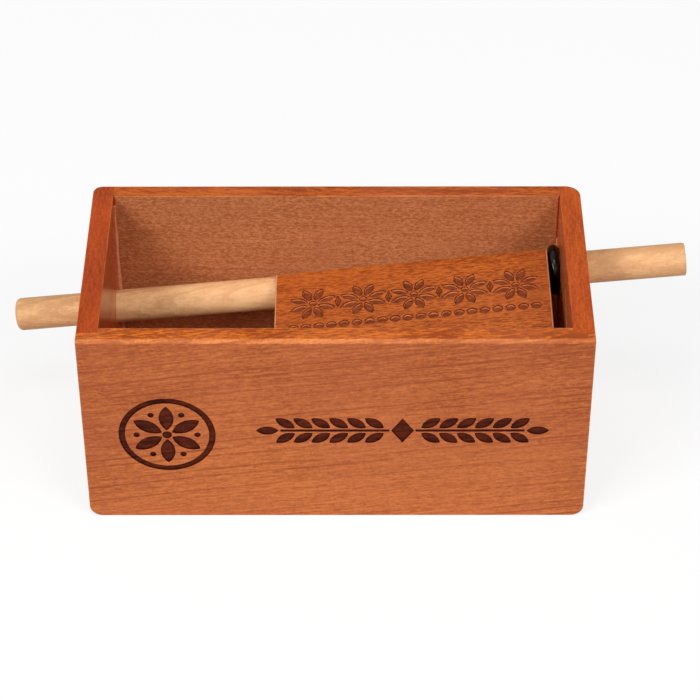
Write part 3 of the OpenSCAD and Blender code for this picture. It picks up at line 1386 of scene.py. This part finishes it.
@dataclass
class OpenBox:
    """The box: four walls, the floor, the sounding rail and the glue in the back corners.

    A pair of sizes is for the left end and the right end. A pair of places is X and Z, or Y and Z.
    """

    finishes: Finishes
    striker: Striker
    foot_radius: float = 3.0
    foot_steps: int = 12
    corner_radii: Pair = (2.3, 3.6)
    corner_steps: int = 14
    worn_arris: float = 0.85
    arris: float = 0.2
    arris_steps: int = 4
    bore_gap: float = 0.08
    rim_width: float = 0.25
    rim_steps: int = 2
    rail_arch_radius: float = 300.0
    rail_arch_sides: int = 1440
    rail_arris: float = 0.4
    rail_arris_steps: int = 3
    seam_widths: Pair = (0.35, 0.4)
    seam_steps: int = 2
    # a pale line on the right wall's inner face
    pale_groove_start: Pair = (-1.5, 47.8)
    pale_groove_end: Pair = (-14.5, 42.4)
    pale_groove_width: float = 0.45
    pale_groove_depth: float = 0.1
    mark_depth: float = 0.3
    char_depth: float = 0.1
    char_width: float = 0.12
    medallion_at: Pair = (-39.4, 26.3)
    border_at: Pair = (15.5, 27.6)
    beads: tuple[GlueBead, GlueBead] = (GlueBead(Side.LEFT, 0.95, 1.0), GlueBead(Side.RIGHT, 0.75, 0.5))
    front: tuple[Vector, Vector] = field(default_factory=lambda: node_box("front_board"))
    back: tuple[Vector, Vector] = field(default_factory=lambda: node_box("back_board"))

    @property
    def inner_x(self) -> float:
        """Half the box's inner length."""
        return self.back[1].x

    @property
    def lip_y(self) -> float:
        """Y of the rabbets' bottoms in the front board."""
        return node_box("left_end_board")[0].y

    @property
    def top(self) -> float:
        """Height of the box."""
        return self.front[1].z

    def eased(self, piece: Piece, *tests: Test) -> None:
        """Takes the sharpness off the arrises of a board that pass the tests, one after the other."""
        for test in tests:
            ease(piece, test, self.arris, self.arris_steps, Slot.ARRIS)

    def rim(self, piece: Piece, faces: Iterable[float]) -> None:
        """Eases the edges of an end board's bore, where the bare wood shows.

        Args:
            piece: the end board.
            faces: X of its two broad faces.
        """
        stick = self.striker.stick
        reach = stick.radius + 2 * self.rim_width

        def near(point: Vector) -> bool:
            """Says whether a point lies close to the stick."""
            level = stick.place.z + point.x * stick.along.z / stick.along.x
            return math.hypot(point.y - stick.place.y, point.z - level) < reach

        for plane in faces:
            ease(piece, lambda a, b: on(x=plane)(a, b) and near(a) and near(b),
                 self.rim_width, self.rim_steps, Slot.RIM)

    def front_board(self) -> Piece:
        """Makes the front wall: full length, thinned at both ends, with the burnt ornament.

        Returns:
            The board.
        """
        low, high = self.front
        lip, top = self.lip_y, self.top
        piece = block("front_board_wood", (-self.inner_x, low.y, 0), (self.inner_x, high.y, top))
        dress(piece, *self.finishes.front)
        paint(piece, Slot.TOP, (0, 0, 1))
        with Bench(piece) as bench:
            bench.bisect((0, lip, 0), (0, 1, 0))
            for side in Side:
                bench.faces(lambda middle, out: out.x * side > FACING and middle.y < lip)
                bench.extrude((side * (high.x - self.inner_x), 0, 0))
        for side in Side:
            ease(piece, on(x=side * high.x, z=0), self.foot_radius, self.foot_steps)
        ease(piece, on(y=low.y, z=top), self.worn_arris, self.arris_steps, Slot.ARRIS)
        self.eased(piece, on(y=low.y), on(y=high.y, z=top), on(x=low.x, z=top), on(x=high.x, z=top))
        outlines = Marks(self.char_depth, self.finishes.charred, self.finishes.charred, self.char_width)
        floors = Marks(self.mark_depth, self.finishes.burnt, self.finishes.charred)
        for design, (x, z) in ((Medallion(), self.medallion_at), (LeafBorder(), self.border_at)):
            face = moved(x, low.y, z) @ Matrix.Rotation(math.pi / 2, 4, "X")
            design.sink(piece, face, outlines, floors)
        return finished(piece, Body.BOX, "box_wood", "front_board")

    def back_board(self) -> Piece:
        """Makes the back wall, butted between the end boards with an open seam, and paler inside.

        Returns:
            The board.
        """
        low, high = self.back
        piece = block("back_board_wood", low, high)
        dress(piece, *self.finishes.back)
        paint(piece, Slot.TOP, (0, 0, 1))
        paint(piece, Slot.INSIDE, (0, -1, 0))
        for side, width in zip(Side, self.seam_widths):
            ease(piece, on(x=side * high.x, y=low.y), width, self.seam_steps, Slot.SEAM)
        self.eased(piece, on(y=high.y, z=high.z), on(y=low.y, z=high.z), on(y=high.y, z=0))
        return finished(piece, Body.BOX, "box_wood", "back_board")

    def pale_groove(self, piece: Piece) -> None:
        """Cuts a shallow groove of bare, pale wood along the right wall's inner face, as a pale line.

        Args:
            piece: the right end board.
        """
        start, end = (Vector((self.inner_x, *place)) for place in (self.pale_groove_start, self.pale_groove_end))
        marks = Marks(self.pale_groove_depth, self.finishes.rim, self.finishes.rim)
        line = marks.stroke((end - start).length, self.pale_groove_width)
        way = (end - start).normalized()
        out = Vector((-1, 0, 0))
        turn = Matrix((way, out.cross(way), out)).transposed().to_4x4()
        work(piece, marks.placed([line], moved(*(start + end) / 2) @ turn))

    def end_board(self, side: Side) -> Piece:
        """Makes an end wall: rounded below and at the back, bored for the stick.

        Args:
            side: which end it is.

        Returns:
            The board.
        """
        node = f"{side.word}_end_board"
        low, high = node_box(node)
        outer, inner = side.of(((low.x, high.x), (high.x, low.x)))
        radius = side.of(self.corner_radii)
        piece = block(f"{node}_wood", low, high)
        ease(piece, on(x=outer, z=0), self.foot_radius, self.foot_steps)
        margin = Vector((OVER, 0, OVER))
        corner = block("corner", low - margin, high + margin)
        with Bench(corner) as bench:
            bench.faces(lambda middle, out: out.x * side > FACING)
            bench.shift((-side * OVER, 0, 0))
        ease(corner, on(x=outer, y=high.y), radius, self.corner_steps)
        work(piece, corner, Joining.KEEP)
        stick = self.striker.stick
        reach = 2 * high.z
        bore = bar("bore", stick.radius + self.bore_gap, -reach, reach)
        work(piece, settle(bore, stick.frame))
        dress(piece, *side.of((self.finishes.left, self.finishes.right)))
        paint(piece, Slot.TOP, (0, 0, 1))
        paint(piece, Slot.INSIDE, (-side, 0, 0))
        self.rim(piece, (inner, outer))
        if side is Side.RIGHT:
            self.pale_groove(piece)
        walls = (self.front[1].y, self.back[0].y)
        with Bench(piece) as bench:
            for plane in walls:
                bench.bisect((0, plane, 0), (0, 1, 0))
        flat_x = abs(outer) - radius - CLOSE

        def outside(*ends: Vector) -> bool:
            """Says whether an edge is an outer or a back arris of the upper edge."""
            return not on(y=low.y)(*ends) and all(
                close(end.z, self.top) and (abs(end.x) > flat_x or close(end.y, high.y)) for end in ends)

        def inside(*ends: Vector) -> bool:
            """Says whether an edge is the upper inner arris between the front and the back board."""
            return on(x=inner, z=self.top)(*ends) and all(
                walls[0] - CLOSE < end.y < walls[1] + CLOSE for end in ends)

        self.eased(piece, outside, inside)
        return finished(piece, Body.BOX, "box_wood", node)

    def bottom_board(self) -> Piece:
        """Makes the floor with the groove for the rail.

        Returns:
            The board.
        """
        low, high = node_box("bottom_board")
        rail_low, rail_high = node_box("sounding_rail")
        piece = block("bottom_board_wood", low, high)
        start = Vector((low.x - OVER, rail_low.y, rail_low.z))
        end = Vector((high.x + OVER, rail_high.y, high.z + OVER))
        work(piece, block("groove", start, end))
        dress(piece, *self.finishes.bottom)
        self.eased(piece, on(y=rail_low.y, z=high.z), on(y=rail_high.y, z=high.z))
        return finished(piece, Body.BOX, "box_wood", "bottom_board")

    def sounding_rail(self) -> Piece:
        """Makes the upright rail with its arched top edge, which follows the stick's slope.

        Returns:
            The rail.
        """
        striker = self.striker
        low, high = node_box("sounding_rail")
        piece = block("sounding_rail_wood", low, high + Vector((0, 0, OVER)))
        radius = self.rail_arch_radius
        width = high.y - low.y + 2 * OVER
        arch = cylinder("arch", self.rail_arch_sides, radius, width, (0, 0, -radius), (math.pi / 2, 0, 0))
        middle = (low + high) / 2
        crown = moved(striker.rail_crown, middle.y - striker.stick.place.y, striker.under - striker.rub_gap)
        work(piece, settle(arch, striker.stick.frame @ crown), Joining.KEEP)
        dress(piece, *self.finishes.rail)

        def upper(first: Vector, second: Vector) -> bool:
            """Says whether an edge runs along the arch."""
            level = min(first.z, second.z) > middle.z and not close(first.x, second.x)
            return level and close(first.y, second.y)

        ease(piece, upper, self.rail_arris, self.rail_arris_steps, Slot.ARRIS)
        return finished(piece, Body.BOX, "rail_wood", "sounding_rail")

    def build(self) -> list[Piece]:
        """Builds the whole box.

        Returns:
            Its pieces.
        """
        floor = node_box("bottom_board")[1].z
        height = self.top - floor - 2 * self.arris
        pieces = [self.front_board(), self.back_board()]
        for side in Side:
            corner = Vector((side * self.inner_x, self.back[0].y, floor))
            pieces.append(self.end_board(side))
            pieces.append(side.of(self.beads).build(corner, height, self.finishes.glue))
        return [*pieces, self.bottom_board(), self.sounding_rail()]


@dataclass
class BumperRing:
    """The rubber ring, pressed between the striker's square end and the end board's sloping face."""

    striker: Striker
    wall_x: float
    radius: float = 6.2
    section: float = 2.8
    bore_gap: float = 0.04
    side_gap: float = 0.05
    wall_gap: float = 0.05
    sides: int = 96
    section_sides: int = 32

    def build(self, finishes: Finishes) -> Piece:
        """Builds the ring.

        Args:
            finishes: the materials.

        Returns:
            The ring.
        """
        stick = self.striker.stick
        half = self.section / 2
        start = self.striker.right + self.side_gap
        pick()
        bpy.ops.mesh.primitive_torus_add(
            major_segments=self.sides,
            minor_segments=self.section_sides,
            major_radius=(self.radius - half) * MM,
            minor_radius=half * MM,
            location=((start + half) * MM, 0, 0),
            rotation=(0, math.pi / 2, 0),
        )
        piece = new_piece("bumper_ring_rubber")
        end = start + self.section
        bore = bar("bore", stick.radius + self.bore_gap, start - OVER, end + OVER, self.sides)
        half_side = math.pi / self.sides
        work(piece, settle(bore, Matrix.Rotation(half_side, 4, "X")))
        settle(piece, stick.frame)
        reach = 2 * self.radius
        middle = stick.place + stick.along * (start + half)
        low = Vector((self.wall_x - self.wall_gap, middle.y - reach, middle.z - reach))
        work(piece, block("wall", low, middle + Vector((reach, reach, reach))))
        dress(piece, finishes.rubber)
        return finished(piece, Body.RING, "black_rubber", "bumper_ring", angle=50.0)


@dataclass(frozen=True)
class Lamp:
    """A soft lamp that points at the call, wider than it is high, with its sizes in metres."""

    name: str
    place: Triple
    width: float
    height: float
    level: float

    def build(self, target: Vector) -> None:
        """Adds the lamp so that a white face turned to it shows its level.

        Args:
            target: the point that it lights, in metres.
        """
        light = bpy.data.lights.new(self.name, "AREA")
        light.shape = "RECTANGLE"
        light.size = self.width
        light.size_y = self.height
        place = Vector(self.place)
        light.energy = self.level * math.pi ** 2 * (place - target).length_squared
        lamp = bpy.data.objects.new(self.name, light)
        lamp.location = place
        lamp.rotation_euler = (target - place).to_track_quat("-Z", "Y").to_euler()
        bpy.context.scene.collection.objects.link(lamp)


@dataclass
class Studio:
    """The pale floor, the soft light and the camera at the photograph's angle.

    The eye is in millimetres, its angles are in degrees, and the floor and the clip are in metres.
    """

    eye: Triple = (4.316, -472.39, 434.25)
    elevation: float = 40.738
    yaw: float = 0.131
    roll: float = -0.122
    focal_pixels: float = 2581.5
    frame_pixels: float = 700.0
    sensor: float = 36.0
    clip: Pair = (0.01, 50.0)
    floor_size: float = 6.0
    floor_white: float = 0.8
    floor_lit: Colour = srgb(206, 206, 206)
    floor_seen: Colour = srgb(252, 252, 252)
    white: Colour = (1.0, 1.0, 1.0, 1.0)
    ambient: float = 0.12
    lamps: tuple[Lamp, ...] = (
        Lamp("left_lamp", (-0.85, -0.85, 1.1), 0.9, 0.5, 0.64),
        Lamp("right_lamp", (0.85, -0.85, 1.15), 0.9, 0.5, 0.435),
        Lamp("top_lamp", (0.0, -0.35, 1.5), 0.8, 0.5, 0.22),
    )

    def camera(self) -> None:
        """Adds the camera."""
        lift, turn, lean = (math.radians(angle) for angle in (self.elevation, self.yaw, self.roll))
        forward = Vector((-math.sin(turn) * math.cos(lift), math.cos(turn) * math.cos(lift),
                          -math.sin(lift)))
        level = forward.cross(Vector((0, 0, 1))).normalized()
        right = level * math.cos(lean) + level.cross(forward) * math.sin(lean)
        data = bpy.data.cameras.new("camera")
        data.sensor_width = self.sensor
        data.lens = self.focal_pixels / self.frame_pixels * self.sensor
        data.clip_start, data.clip_end = self.clip
        camera = bpy.data.objects.new("camera", data)
        turned = Matrix((right, right.cross(forward), -forward)).transposed().to_4x4()
        camera.matrix_world = moved(*self.eye) @ turned
        bpy.context.scene.collection.objects.link(camera)
        bpy.context.scene.camera = camera

    @staticmethod
    def seen(graph: Graph) -> Socket:
        """Adds the share of a ray that comes from the camera, a gloss or a glass.

        Args:
            graph: the material's or the world's graph.

        Returns:
            The share, 0 or 1.
        """
        path = graph.add("ShaderNodeLightPath").outputs
        either = graph.math("MAXIMUM", path["Is Camera Ray"], path["Is Glossy Ray"])
        return graph.math("MAXIMUM", either, path["Is Transmission Ray"])

    def floor(self) -> None:
        """Adds the floor: white to the eye, with the call's soft shadow on it."""
        pick()
        bpy.ops.mesh.primitive_plane_add(size=self.floor_size)
        plane = new_piece("floor")
        material = bpy.data.materials.new("pale_floor")
        material.use_nodes = True
        graph = Graph(material.node_tree)
        graph.tree.nodes.remove(graph.tree.nodes["Principled BSDF"])
        seen = self.seen(graph)
        colour = graph.mix(seen, self.floor_lit, self.floor_seen)
        paper = graph.add("ShaderNodeBsdfDiffuse", {"Color": colour}).outputs[0]
        glow = graph.add("ShaderNodeEmission", {"Color": self.white, "Strength": 1.0}).outputs[0]
        share = graph.math("MULTIPLY", seen, self.floor_white)
        both = graph.add("ShaderNodeMixShader", {0: share, 1: paper, 2: glow}).outputs[0]
        graph.wire(graph.tree.nodes["Material Output"], {"Surface": both})
        dress(plane, material)
        plane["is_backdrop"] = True

    def world(self) -> None:
        """Sets the sky: white where it is seen, plain grey where it lights."""
        world = bpy.data.worlds.new("studio")
        bpy.context.scene.world = world
        world.use_nodes = True
        graph = Graph(world.node_tree)
        level = graph.span(self.seen(graph), 0, 1, self.ambient, 1.0)
        graph.wire(graph.tree.nodes["Background"], {"Color": self.white, "Strength": level})

    def build(self) -> None:
        """Builds the studio round the call."""
        self.camera()
        self.floor()
        self.world()
        target = (CAD_BOX[0] + CAD_BOX[1]) / 2
        for lamp in self.lamps:
            lamp.build(target)
        bpy.context.scene.view_settings.view_transform = "Standard"


def write_sizes() -> None:
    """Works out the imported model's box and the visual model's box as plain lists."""
    boxes = {"cad": CAD_BOX, "visual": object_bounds()}
    plain = {name: [list(corner) for corner in box] for name, box in boxes.items()}


def main() -> None:
    """Builds the studio and the call's sub-assemblies in order, and reports each piece."""
    logging.basicConfig(level=logging.INFO, format="%(name)s: %(message)s")
    Studio().build()
    stick = Stick()
    finishes = Finishes(Effects(), stick.slope)
    striker = Striker(stick)
    box = OpenBox(finishes, striker)
    ring = BumperRing(striker, box.inner_x)
    for piece in (*box.build(), stick.build(finishes), striker.build(finishes), ring.build(finishes)):
        size = (Vector(piece.bound_box[6]) - Vector(piece.bound_box[0])) / MM
        log.info("%s, %.1f x %.1f x %.1f mm", piece.name, *size)
    write_sizes()


if __name__ == "__main__":
    main()
